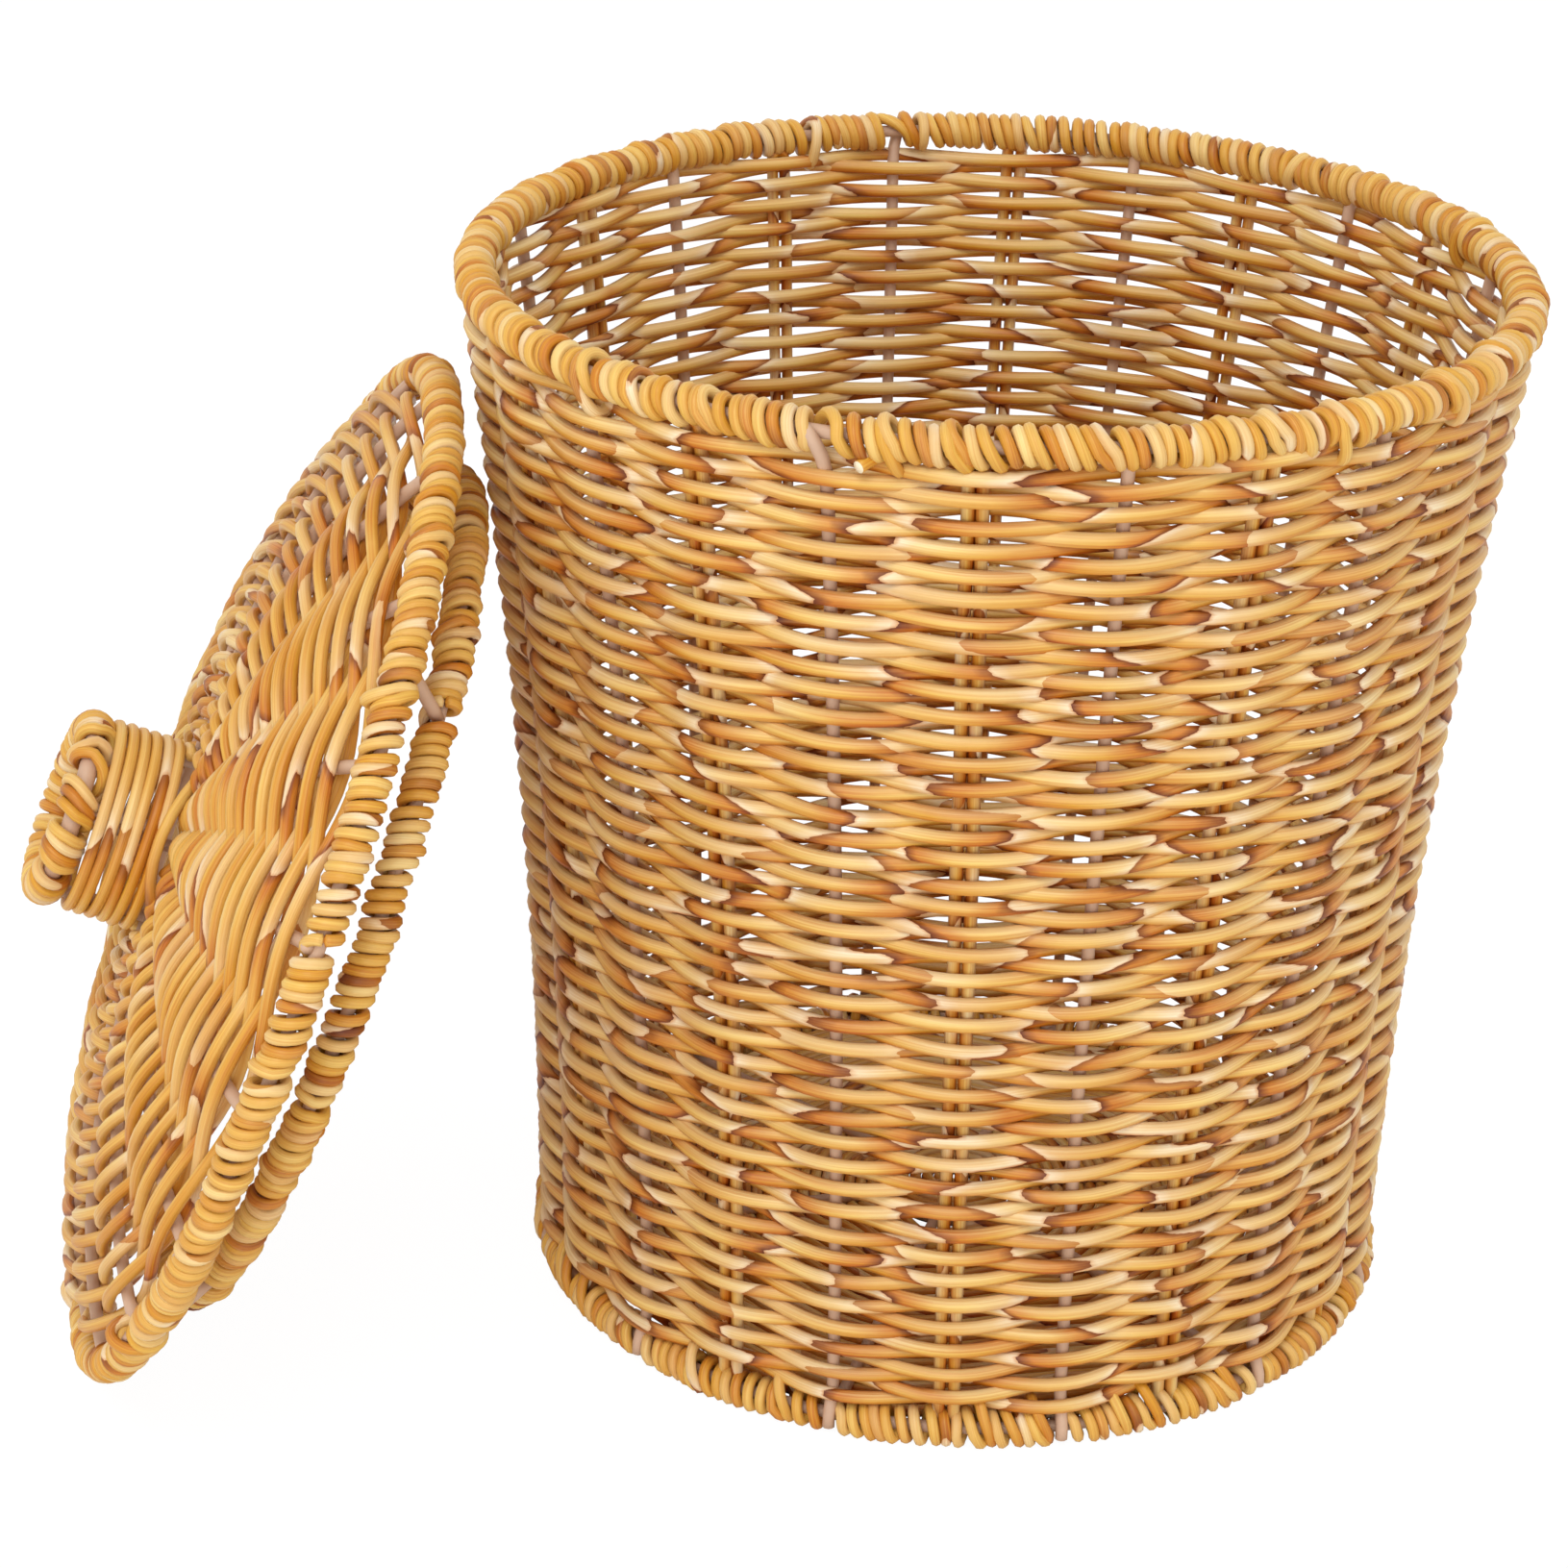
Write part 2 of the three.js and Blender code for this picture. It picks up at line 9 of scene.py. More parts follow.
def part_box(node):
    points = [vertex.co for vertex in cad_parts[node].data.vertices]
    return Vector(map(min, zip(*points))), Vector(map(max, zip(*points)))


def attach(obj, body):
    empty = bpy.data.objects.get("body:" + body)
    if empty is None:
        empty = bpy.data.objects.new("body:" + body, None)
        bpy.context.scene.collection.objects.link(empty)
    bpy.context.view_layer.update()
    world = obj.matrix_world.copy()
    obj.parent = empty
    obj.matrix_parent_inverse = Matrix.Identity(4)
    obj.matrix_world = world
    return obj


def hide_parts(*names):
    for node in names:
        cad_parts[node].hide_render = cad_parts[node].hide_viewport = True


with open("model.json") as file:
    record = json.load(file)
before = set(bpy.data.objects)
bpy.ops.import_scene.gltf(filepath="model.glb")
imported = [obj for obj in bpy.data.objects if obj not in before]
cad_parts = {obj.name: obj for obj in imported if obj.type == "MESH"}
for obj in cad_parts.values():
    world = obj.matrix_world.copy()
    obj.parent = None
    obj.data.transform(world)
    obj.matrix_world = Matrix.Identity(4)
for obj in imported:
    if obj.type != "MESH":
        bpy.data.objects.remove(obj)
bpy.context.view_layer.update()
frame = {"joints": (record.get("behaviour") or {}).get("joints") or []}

# Camera
# It stands a little over a metre in front of the basket, at twice the height of the rim,
# and looks down into the mouth. It is turned a little to the left and leans to one side.
rim_low, rim_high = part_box("top_ring")
rim_centre = (rim_low + rim_high) / 2
basket_axis = Vector((rim_centre.x, rim_centre.y, 0))
camera_stand = Vector((0.0006, -1.18542, 0.70145))
camera_yaw, camera_pitch, camera_roll = -0.0523, 0.4287, 0.0272
ahead = Vector((math.sin(camera_yaw), math.cos(camera_yaw), 0))
aside = Vector((math.cos(camera_yaw), -math.sin(camera_yaw), 0))
gaze = ahead * math.cos(camera_pitch) - Vector((0, 0, math.sin(camera_pitch)))
crown = aside.cross(gaze)
across = aside * math.cos(camera_roll) + crown * math.sin(camera_roll)
upward = crown * math.cos(camera_roll) - aside * math.sin(camera_roll)
bpy.ops.object.select_all(action="DESELECT")
bpy.ops.object.camera_add(location=basket_axis + camera_stand)
camera = bpy.context.object
camera.name = "camera"
camera.rotation_euler = Matrix((across, upward, -gaze)).transposed().to_euler()
camera.data.lens = 92.14
camera.data.sensor_width = 36
camera.data.clip_start = 0.05
bpy.context.scene.camera = camera

# Steel rings of the basket
# Two hoops of 4 mm wire, powder coated in a warm taupe, carry the rim and the foot. They show
# where their winding opens.
wire_radius = 0.002
rim_radius = 0.160
rim_height = rim_centre.z
foot_low, foot_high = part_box("base_ring")
foot_radius = 0.1355
foot_height = (foot_low.z + foot_high.z) / 2


class Shade:
    """One output socket of a material. Sums and products of it add the Math nodes they need."""

    def __init__(self, socket):
        self.socket = socket

    def node(self, kind, settings, sockets, output=0):
        tree = self.socket.id_data
        added = tree.nodes.new("ShaderNode" + kind)
        for name, value in settings.items():
            if name == "stops":
                ramp = added.color_ramp
                for place, colour in value[1:-1]:
                    ramp.elements.new(place).color = colour
                ramp.elements[0].position, ramp.elements[0].color = value[0]
                ramp.elements[-1].position, ramp.elements[-1].color = value[-1]
            else:
                setattr(added, name, value)
        for name, value in sockets.items():
            if isinstance(value, Shade):
                tree.links.new(value.socket, added.inputs[name])
            else:
                added.inputs[name].default_value = value
        return Shade(added.outputs[output])

    def maths(self, operation, *others):
        sockets = {i: value for i, value in enumerate((self, *others))}
        return self.node("Math", {"operation": operation}, sockets)

    def __add__(self, other):
        return self.maths("ADD", other)

    def __sub__(self, other):
        return self.maths("SUBTRACT", other)

    def __rsub__(self, other):
        return (self * -1) + other

    def __mul__(self, other):
        return self.maths("MULTIPLY", other)

    def __truediv__(self, other):
        return self.maths("DIVIDE", other)

    __radd__ = __add__
    __rmul__ = __mul__

    def noise(self, scale, detail=2.0, output="Fac", dimensions="3D"):
        sockets = {"Scale": scale, "Detail": detail}
        sockets["W" if dimensions == "1D" else "Vector"] = self
        return self.node("TexNoise", {"noise_dimensions": dimensions}, sockets, output)

    def mixed(self, first, second, blend="MIX"):
        settings = {"data_type": "RGBA", "blend_type": blend}
        return self.node("Mix", settings, {0: self, 6: first, 7: second}, 2)


def sRGB(red, green, blue):
    """A colour in levels of 0 to 255, as the linear shares that the materials take."""
    def linear(level):
        share = level / 255
        return share / 12.92 if share <= 0.04045 else ((share + 0.055) / 1.055) ** 2.4

    return (linear(red), linear(green), linear(blue), 1.0)


def new_finish(name):
    finish = bpy.data.materials.new(name)
    finish.use_nodes = True
    return finish, finish.node_tree.nodes["Principled BSDF"]


def dress(piece, finish, body, slot, *nodes):
    """Gives a finished piece its material and its body, and hides the CAD nodes it stands for.
    Its slot is not used.
    """
    piece.data.materials.clear()
    piece.data.materials.append(finish)
    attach(piece, body)
    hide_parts(*nodes)


coated_steel, shader = new_finish("coated_steel")
coordinates = coated_steel.node_tree.nodes.new("ShaderNodeTexCoord")
place = Shade(coordinates.outputs["Object"])
dark_taupe, light_taupe = sRGB(186, 150, 124), sRGB(212, 178, 150)
mottle = place.noise(90, 3)
grit = place.noise(1500, 2)
grit_depth = 0.0002
coat = mottle.mixed(dark_taupe, light_taupe)
links = coated_steel.node_tree.links
links.new(coat.socket, shader.inputs["Base Color"])
links.new((0.42 + grit * 0.2).socket, shader.inputs["Roughness"])
bumped = grit.node("Bump", {}, {"Strength": 0.25, "Distance": grit_depth, "Height": grit})
links.new(bumped.socket, shader.inputs["Normal"])


def add_hoop(name, radius, centre, tilt, thickness, steps=144):
    """A closed ring of round wire, with its place worked into its mesh."""
    bpy.ops.object.select_all(action="DESELECT")
    bpy.ops.mesh.primitive_torus_add(
        major_radius=radius, minor_radius=thickness, major_segments=steps, minor_segments=12,
        location=centre, rotation=tilt,
    )
    bpy.ops.object.transform_apply(location=True, rotation=True, scale=True)
    bpy.ops.object.shade_smooth()
    hoop = bpy.context.object
    hoop.name = name
    return hoop


upright_pose = (0, 0, 0)
top_ring = add_hoop("steel_top_ring", rim_radius, rim_centre, upright_pose, wire_radius)
dress(top_ring, coated_steel, "basket", "coated_steel", "top_ring")
foot_centre = basket_axis + Vector((0, 0, foot_height))
base_ring = add_hoop("steel_base_ring", foot_radius, foot_centre, upright_pose, wire_radius)
dress(base_ring, coated_steel, "basket", "coated_steel", "base_ring")

# Steel uprights
# Twelve wires run from hoop to hoop at every other stake. Their ends are bent out a little and
# welded to the outsides of the two hoops, where the winding leaves a gap for them.
stake_count = 24
stake_turn = math.radians(-91.2)
wall_foot = foot_height + 0.0055
wall_head = rim_height - 0.0055
wall_hollow = 0.0052
head_inset = 0.0008
foot_twist = math.radians(1.6)


def wall_radius(height):
    share = np.clip((height - wall_foot) / (wall_head - wall_foot), 0, 1)
    straight = foot_radius + (rim_radius - head_inset - foot_radius) * share
    return straight - 4 * wall_hollow * share * (1 - share)


def stake_angle(index):
    return stake_turn + 2 * math.pi * index / stake_count


def stake_twist(height):
    share = np.clip((height - wall_foot) / (wall_head - wall_foot), 0, 1)
    return foot_twist * (1 - share)


def swept(path, thickness, sides, first_corner, ends=0.35):
    """Points, faces and cane places of a round cane along a path. A cane place holds the
    distance along the cane and the cosine and sine of the turn round it."""
    path = np.asarray(path, float)
    count = len(path)
    thickness = np.broadcast_to(thickness, count)
    along = np.gradient(path, axis=0)
    along /= np.linalg.norm(along, axis=1, keepdims=True)
    corner = np.broadcast_to(first_corner, path.shape)
    corner = corner - (corner * along).sum(1, keepdims=True) * along
    corner = corner / np.linalg.norm(corner, axis=1, keepdims=True)
    square = np.cross(along, corner)
    turn = 2 * math.pi * np.arange(sides) / sides
    spoke = (
        corner[:, None, :] * np.cos(turn)[None, :, None]
        + square[:, None, :] * np.sin(turn)[None, :, None]
    )
    rings = path[:, None, :] + spoke * thickness[:, None, None]
    length = np.concatenate([[0], np.cumsum(np.linalg.norm(np.diff(path, axis=0), axis=1))])
    tips = np.array([
        path[0] - along[0] * thickness[0] * ends,
        path[-1] + along[-1] * thickness[-1] * ends,
    ])
    points = np.vstack([rings.reshape(-1, 3), tips])
    step = np.arange(count - 1)[:, None] * sides
    k = np.arange(sides)[None, :]
    after = (k + 1) % sides
    quads = np.stack([step + k, step + after, step + sides + after, step + sides + k], axis=2)
    k, after = k[0], after[0]
    last = (count - 1) * sides
    first_tip = np.stack([np.full(sides, count * sides), after, k], axis=1)
    last_tip = np.stack([np.full(sides, count * sides + 1), last + k, last + after], axis=1)
    around = np.stack([np.cos(turn), np.sin(turn)], axis=1)
    places = np.zeros((len(points), 3))
    places[:-2, 0] = np.repeat(length, sides)
    places[:-2, 1:] = np.tile(around, (count, 1))
    places[-1, 0] = length[-1]
    return points, quads.reshape(-1, 4), np.vstack([first_tip, last_tip]), places


def cane_piece(name, canes):
    """One mesh from several swept canes or wires."""
    points, places, quads, tips = [], [], [], []
    offset = 0
    for cane_points, cane_quads, cane_tips, cane_places in canes:
        points.append(cane_points)
        places.append(cane_places)
        quads.append(cane_quads + offset)
        tips.append(cane_tips + offset)
        offset += len(cane_points)
    points, places = np.vstack(points), np.vstack(places)
    quads, tips = np.vstack(quads), np.vstack(tips)
    mesh = bpy.data.meshes.new(name)
    mesh.vertices.add(len(points))
    mesh.vertices.foreach_set("co", points.astype(np.float32).ravel())
    corners = np.concatenate([quads.ravel(), tips.ravel()])
    mesh.loops.add(len(corners))
    mesh.loops.foreach_set("vertex_index", corners.astype(np.int32))
    starts = np.concatenate([
        4 * np.arange(len(quads)), 4 * len(quads) + 3 * np.arange(len(tips)),
    ])
    mesh.polygons.add(len(starts))
    mesh.polygons.foreach_set("loop_start", starts.astype(np.int32))
    mesh.update(calc_edges=True)
    attribute = mesh.attributes.new("cane_place", "FLOAT_VECTOR", "POINT")
    attribute.data.foreach_set("vector", places.astype(np.float32).ravel())
    mesh.shade_smooth()
    piece = bpy.data.objects.new(name, mesh)
    bpy.context.scene.collection.objects.link(piece)
    return piece


def around_axis(radius, angle, height):
    """Points round the basket's axis."""
    radius, angle, height = np.broadcast_arrays(radius, angle, height)
    across, along = radius * np.cos(angle), radius * np.sin(angle)
    return np.stack([basket_axis.x + across, basket_axis.y + along, height], axis=-1)


def outward(angle):
    return np.stack([np.cos(angle), np.sin(angle), 0 * angle], axis=-1)


weld_reach = 0.0040
shown_heads = (13, 23)
foot_points = [
    (foot_height - 0.0022, 1), (foot_height + 0.0015, 0.97),
    (wall_foot + 0.001, 0.55), (wall_foot + 0.006, 0.1),
]
middle_points = [(height, 0) for height in np.linspace(wall_foot + 0.02, wall_head - 0.02, 12)]
bent_head = [
    (-0.0125, 0.1, 0), (-0.0065, 0.6, -0.0006), (-0.0025, 1.05, -0.0018),
    (0.0004, 1.15, -0.0036), (0.0016, 0.9, -0.0056),
]
plain_head = [(rise, 0, 0) for rise in (-0.0115, -0.0085, -0.0055, -0.0035, -0.0021)]
uprights = []
for index in range(1, stake_count, 2):
    angle = stake_angle(index)
    side = outward(np.array(angle + math.pi / 2))
    head = bent_head if index in shown_heads else plain_head
    head_points = [(rim_height + rise, share, lean) for rise, share, lean in head]
    straight_points = [(*point, 0) for point in foot_points + middle_points]
    heights, shares, leans = np.array(straight_points + head_points).T
    turned = angle + stake_twist(heights)
    path = around_axis(wall_radius(heights) + weld_reach * shares, turned, heights)
    uprights.append(swept(path + side * leans[:, None], wire_radius, 10, side))
frame_uprights = cane_piece("steel_uprights", uprights)
upright_nodes = [f"frame_upright_{i:02d}" for i in range(1, 13)]
dress(frame_uprights, coated_steel, "basket", "coated_steel", *upright_nodes)

# Cane stakes
# Between the wires stand twelve doubled canes, each bent over in a hairpin under the rim. The
# synthetic cane is streaked from cream through gold to a brown edge, again and again.
cane_radius = 0.002
random = np.random.default_rng(31)


def cane_finish(name, repeat, seed, ends=1.0, spread=1.0, painted_shading=0.0):
    """Synthetic cane. Every repeat metres or so one stretch of colour ends and the next starts.
    Ends is how strong the brown ends are, spread is how long they are, and the last argument is
    how strongly light and shade are painted round the cane: a painted highlight along its upper
    side and painted shade on its lower side."""
    finish, shader = new_finish(name)
    tree = finish.node_tree
    attribute = tree.nodes.new("ShaderNodeAttribute")
    attribute.attribute_name = "cane_place"
    place = Shade(attribute.outputs["Vector"])
    along = place.node("SeparateXYZ", {}, {0: place}, 0)
    cosine = place.node("SeparateXYZ", {}, {0: place}, 1)
    sine = place.node("SeparateXYZ", {}, {0: place}, 2)

    # The border between two stretches is a slanting tongue, and no two are alike
    wander = (along + seed).noise(7, 1, "Fac", "1D") * (0.06 / repeat)
    facing = (along + seed * 2).noise(8, 1, "Fac", "1D") * 18
    slant = (along + seed * 3).noise(11, 1, "Fac", "1D") * (0.011 / repeat)
    tongue = cosine * facing.maths("COSINE") + sine * facing.maths("SINE")
    fine = place.node("CombineXYZ", {}, {0: along * 320, 1: cosine * 1.4, 2: sine * 1.4})
    ragged = (fine.noise(1.0, 2) - 0.5) * (0.0022 / repeat)
    stretch = along / repeat + wander + tongue * slant + ragged
    number = stretch.maths("FLOOR")
    share = stretch - number
    draw = number.node("TexWhiteNoise", {"noise_dimensions": "1D"}, {"W": number + seed}, 1)
    fade = draw.node("SeparateColor", {}, {0: draw}, 0)
    next_draw = number.node(
        "TexWhiteNoise", {"noise_dimensions": "1D"}, {"W": number + seed + 1.0}, 1
    )
    next_fade = next_draw.node("SeparateColor", {}, {0: next_draw}, 0)

    # A stretch runs from cream through gold to orange, and ends in brown at a strong border
    cream_length, joint_length = 0.006, 0.0014
    orange_length, brown_length = 0.016 * spread, 0.0048 * spread
    left = (1 - share) * repeat
    stops = [
        (0.0, sRGB(237, 222, 186)),
        (0.16, sRGB(235, 210, 152)),
        (0.4, sRGB(232, 197, 103)),
        (0.66, sRGB(223, 173, 54)),
        (0.88, sRGB(210, 146, 34)),
        (1.0, sRGB(200, 122, 26)),
    ]
    blend = share.node("ValToRGB", {"stops": stops}, {0: share})
    slow = (along + seed * 5).noise(18, 2, "Fac", "1D") * 2.4 - 0.7
    body = slow.mixed(sRGB(214, 154, 40), sRGB(240, 212, 128))
    colour = (fade * 0.35 + 0.32).mixed(blend, body)
    # Painted highlight: the upper side of the cane is mixed towards pale cream, as if lit from
    # above
    painted_top_highlight = ((0.1 - sine) * (painted_shading * 0.36)).maths("MAXIMUM", 0.0)
    colour = painted_top_highlight.mixed(colour, sRGB(238, 226, 196))
    strong = 1 - fade * fade
    next_strong = 1 - next_fade * next_fade
    cream = (1 - share * (repeat / cream_length)).maths("MAXIMUM", 0.0)
    colour = (cream * strong * 0.7).mixed(colour, sRGB(243, 234, 208))
    joint = (1 - share * (repeat / joint_length)).maths("MAXIMUM", 0.0)
    colour = (joint * strong * 0.75).mixed(colour, sRGB(204, 136, 58))
    orange = (1 - left / orange_length).maths("MAXIMUM", 0.0)
    colour = (orange * next_strong * ends).mixed(colour, sRGB(204, 126, 26))
    brown = (1 - left / brown_length).maths("MAXIMUM", 0.0)
    colour = (brown * next_strong * ends).mixed(colour, sRGB(104, 50, 24))

    # Streaks run along the cane, and painted shade makes its lower side deeper and darker in colour
    lines = place.node("CombineXYZ", {}, {0: along * 22, 1: cosine * 4.5, 2: sine * 4.5})
    streaks = lines.noise(1.0, 4)
    shadow = (streaks * 1.6 - 0.5).maths("MAXIMUM", 0.0) * (share * 0.6 + 0.6)
    colour = shadow.mixed(colour, sRGB(214, 146, 54), "MULTIPLY")
    # Painted shade: the lower side of the cane is multiplied towards a deep orange
    painted_underside_shade = (sine * painted_shading + 0.04).maths("MAXIMUM", 0.0) * (share * 0.3 + 0.8)
    colour = painted_underside_shade.mixed(colour, sRGB(232, 168, 72), "MULTIPLY")
    specks = fine.noise(3.1, 2)
    streak_depth = 0.0004
    height = streaks * 0.7 + specks * 0.3
    bumped = height.node("Bump", {}, {"Strength": 0.3, "Distance": streak_depth, "Height": height})
    links = tree.links
    shader.inputs["Specular IOR Level"].default_value = 0.36
    links.new(colour.socket, shader.inputs["Base Color"])
    links.new((0.32 + streaks * 0.2).socket, shader.inputs["Roughness"])
    links.new(bumped.socket, shader.inputs["Normal"])
    return finish


# The last number sets the painted highlight on top of these canes and the painted shade below them
woven_cane = cane_finish("woven_cane", 0.046, 3.0, painted_shading=0.85)


def measure(cane, start):
    """Lets the distances along a swept cane start anywhere, and turn back wherever the next
    length of cane is joined on."""
    shortest, longest = 0.7, 2.2
    distances = cane[3][:, 0]
    joins = [0.0]
    while joins[-1] < distances.max():
        joins.append(joins[-1] + random.uniform(shortest, longest))
    lengths = np.diff(joins)
    lengths[::2] *= -1
    folded = np.concatenate([[0], np.cumsum(lengths)])
    distances[:] = start + np.interp(distances, joins, folded)


def eased(share):
    """A share from 0 to 1 that starts and ends softly."""
    return share * share * (3 - 2 * share)


def wobble(count, spacing, size):
    """A smooth random line of count values."""
    knots = random.normal(0, 1, int(count / spacing) + 5)
    at = np.arange(count) / spacing + 1
    low = at.astype(int)
    part = eased(at - low)
    return size * (knots[low] * (1 - part) + knots[low + 1] * part)


pair_offset = cane_radius + 0.0003
hoop_clearance = wire_radius + 0.0003
stake_bottom = foot_height + hoop_clearance
bend_foot = rim_height - hoop_clearance - cane_radius - pair_offset
stake_points = 40
stake_waver = 0.00022
heights = np.linspace(stake_bottom, bend_foot, stake_points)
bend_turns = np.linspace(math.pi, 0, 9)[1:-1]
stakes = []
for index in range(0, stake_count, 2):
    angle = stake_angle(index)
    side = np.array([-math.sin(angle), math.cos(angle), 0])
    middle = around_axis(wall_radius(heights), angle + stake_twist(heights), heights)
    left, right = middle - side * pair_offset, middle + side * pair_offset
    left += side * wobble(stake_points, 4, stake_waver)[:, None]
    right += side * wobble(stake_points, 4, stake_waver)[:, None]
    top = (left[-1] + right[-1]) / 2
    reach = np.linalg.norm(right[-1] - left[-1]) / 2
    rises = np.array([[0, 0, reach * math.sin(turn)] for turn in bend_turns])
    bend = top + side * reach * np.cos(bend_turns)[:, None] + rises
    path = np.vstack([left, bend, right[::-1]])
    cane = swept(path, cane_radius, 8, outward(np.array(angle)))
    measure(cane, random.uniform(0, 50))
    stakes.append(cane)
cane_stakes = cane_piece("doubled_cane_stakes", stakes)
stake_nodes = [f"cane_stake_{i:02d}" for i in range(1, 13)]
dress(cane_stakes, woven_cane, "basket", "woven_cane", *stake_nodes)

# Basket bottom
# A hub ring and twelve spokes of the same wire under a flat woven disc that is domed up a
# little. Two canes chase each other round the spokes, and a coil of cane closes the middle.
hub_radius = 0.022
base_dome = 0.007
base_edge = foot_radius - 0.0062
base_start = hub_radius + 0.004
base_pitch = 0.0039
base_swing = 0.0026
spoke_count = stake_count // 2


def base_line(radius):
    return foot_height + base_dome * (1 - (radius / foot_radius) ** 2)


hub_centre = basket_axis + Vector((0, 0, base_line(hub_radius)))
base_hub = add_hoop("steel_base_hub", hub_radius, hub_centre, upright_pose, wire_radius, 48)
dress(base_hub, coated_steel, "basket", "coated_steel", "base_frame")
radii = np.linspace(hub_radius, foot_radius - hoop_clearance, 12)
spokes = []
for index in range(1, stake_count, 2):
    path = around_axis(radii, stake_angle(index) + stake_twist(0), base_line(radii))
    spokes.append(swept(path, wire_radius, 8, (0, 0, 1)))
base_spokes = cane_piece("steel_base_spokes", spokes)
dress(base_spokes, coated_steel, "basket", "coated_steel", "base_frame")

points_per_spoke = 9
rounds = (base_edge - cane_radius - base_start) / base_pitch / 2
turn = np.linspace(0, rounds, int(rounds * spoke_count * points_per_spoke))
radius = base_start + 2 * base_pitch * turn
disc_canes = []
for strand in range(2):
    angle = stake_angle(1) + math.pi * strand + 2 * math.pi * turn
    wave = np.cos((angle - stake_angle(1) - stake_twist(0)) * spoke_count / 2)
    path = around_axis(radius, angle, base_line(radius) + base_swing * wave)
    cane = swept(path, cane_radius, 7, (0, 0, 1))
    measure(cane, random.uniform(0, 50))
    disc_canes.append(cane)
coil_radius = 0.0235
coil_pitch = 0.0041
coil_lift = 0.0036
coil_turn = np.linspace(0, 5.2, 150)
radius = coil_radius - coil_pitch * coil_turn
height = base_line(radius) + coil_lift
path = around_axis(np.maximum(radius, 0.001), 2 * math.pi * coil_turn, height)
disc_canes.append(swept(path, cane_radius, 7, (0, 0, 1)))
base_weave = cane_piece("woven_base", disc_canes)
dress(base_weave, woven_cane, "basket", "woven_cane", "base_weave")

# Woven side
# Two canes chase each other up the wall in a plain weave, one before the even stakes and one
# before the odd ones, about eighty rows. The lower rows stand a little further apart.
side_cane = 0.00222
row_count = 80
row_bottom = wall_foot + cane_radius
top_row_lift = 0.0014
row_top = wall_head - cane_radius + top_row_lift
foot_spread = 0.065
stake_swing = 0.0037
swing_waver = 0.00018
points_per_stake = 8
ripple_size = 0.00022
row_waver = 0.00042
thickness_waver = 0.03
rim_growth = 0.055
first_end = math.radians(97)


def row_height(row):
    """The rows stand a little further apart at the foot than under the rim."""
    share = row / row_count
    return row_bottom + (row_top - row_bottom) * (share + foot_spread * share * (1 - share))


ripples = [(random.uniform(2, 7), random.uniform(20, 60), random.uniform(0, 6.3)) for _ in range(6)]
rounds = row_count / 2
steps = int(rounds * stake_count * points_per_stake) + 1
turn = np.linspace(0, rounds, steps)
for strand, name in enumerate(("woven_side_even", "woven_side_odd")):
    angle = stake_turn + first_end + math.pi * strand + 2 * math.pi * turn
    height = row_height(2 * turn)
    for waves, rise, phase in ripples:
        height = height + ripple_size * np.sin(round(waves) * angle + rise * height + phase)
    height = height + wobble(steps, 11, row_waver)
    stake_place = (angle - stake_turn - stake_twist(height)) / (2 * math.pi) * stake_count
    wave = np.cos(math.pi * (stake_place + strand))
    swing = stake_swing + wobble(steps, 8, swing_waver)
    radius = wall_radius(height) + swing * wave
    path = around_axis(radius, angle, height)
    growth = wobble(steps, 14, thickness_waver) + rim_growth * (height / rim_height) ** 2
    thickness = side_cane * (1 + growth)
    cane = swept(path, thickness, 8, outward(angle))
    measure(cane, random.uniform(0, 50))
    piece = cane_piece(name, [cane])
    dress(piece, woven_cane, "basket", "woven_cane", "side_weave")

# Wound foot and rim
# A thinner cane is wound turn beside turn round both hoops, leaning a little. It opens at the
# welded ends of the uprights. Now and then a turn has slipped, or a longer one binds the
# nearest row of the weave.
wound_cane = cane_finish("wound_cane", 0.090, 17.0, 0.7, 1.8)


